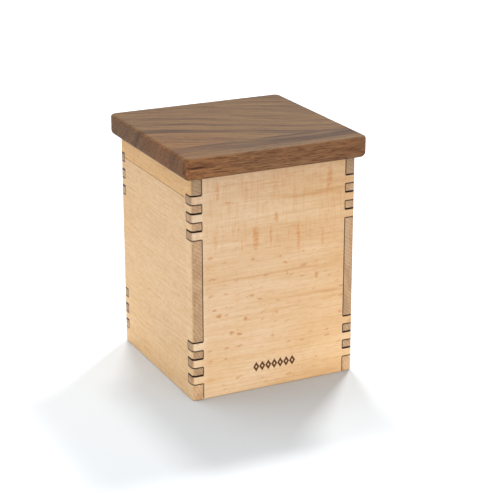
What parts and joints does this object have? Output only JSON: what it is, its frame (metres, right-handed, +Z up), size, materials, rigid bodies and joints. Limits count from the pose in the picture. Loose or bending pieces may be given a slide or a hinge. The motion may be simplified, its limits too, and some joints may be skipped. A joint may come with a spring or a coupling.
{
  "type": "wooden puzzle box",
  "caption": "Square finger-jointed wooden box with a loose overhanging lid, held shut by hidden gravity pins that spinning the box throws back.",
  "frame": {"origin": "centre of the base, on the surface that the box stands on", "axes": "+Z up, front face towards -Y, +X to the right seen from the front"},
  "size_m": [0.137, 0.137, 0.1755],
  "materials": {
    "beech_wall": "satin, laser-charred joints",
    "walnut_lid": "satin oiled",
    "beech_rail": "planed, unfinished",
    "bottom_board": "sanded",
    "brass_pin": "turned",
    "steel_screw": "zinc plated"
  },
  "bodies": {
    "box": {"front_panel": "beech_wall", "back_panel": "beech_wall", "left_panel_lower_stave": "beech_wall", "left_panel_upper_stave": "beech_wall", "right_panel": "beech_wall", "bottom_panel": "bottom_board", "lock_rail_front": "beech_rail", "lock_rail_right": "beech_rail", "lock_rail_back": "beech_rail", "lock_rail_left": "beech_rail"},
    "lid": {"lid_rear_board": "walnut_lid", "lid_front_board": "walnut_lid", "lid_lock_block": "beech_rail", "lid_screws": "steel_screw"},
    "pin_front": {"lock_pin_front": "brass_pin"},
    "pin_right": {"lock_pin_right": "brass_pin"},
    "pin_back": {"lock_pin_back": "brass_pin"},
    "pin_left": {"lock_pin_left": "brass_pin"}
  },
  "joints": [
    {"name": "lid_lift", "type": "slide", "parent": "box", "child": "lid", "axis": [0, 0, 1], "range_m": [0, 0.12]},
    {"name": "pin_front_slide", "type": "slide", "parent": "box", "child": "pin_front", "axis": [0, 0.9945, -0.1045], "range_m": [0, 0.006]},
    {"name": "pin_right_slide", "type": "slide", "parent": "box", "child": "pin_right", "axis": [-0.9945, 0, -0.1045], "range_m": [0, 0.006]},
    {"name": "pin_back_slide", "type": "slide", "parent": "box", "child": "pin_back", "axis": [0, -0.9945, -0.1045], "range_m": [0, 0.006]},
    {"name": "pin_left_slide", "type": "slide", "parent": "box", "child": "pin_left", "axis": [0.9945, 0, -0.1045], "range_m": [0, 0.006]}
  ]
}
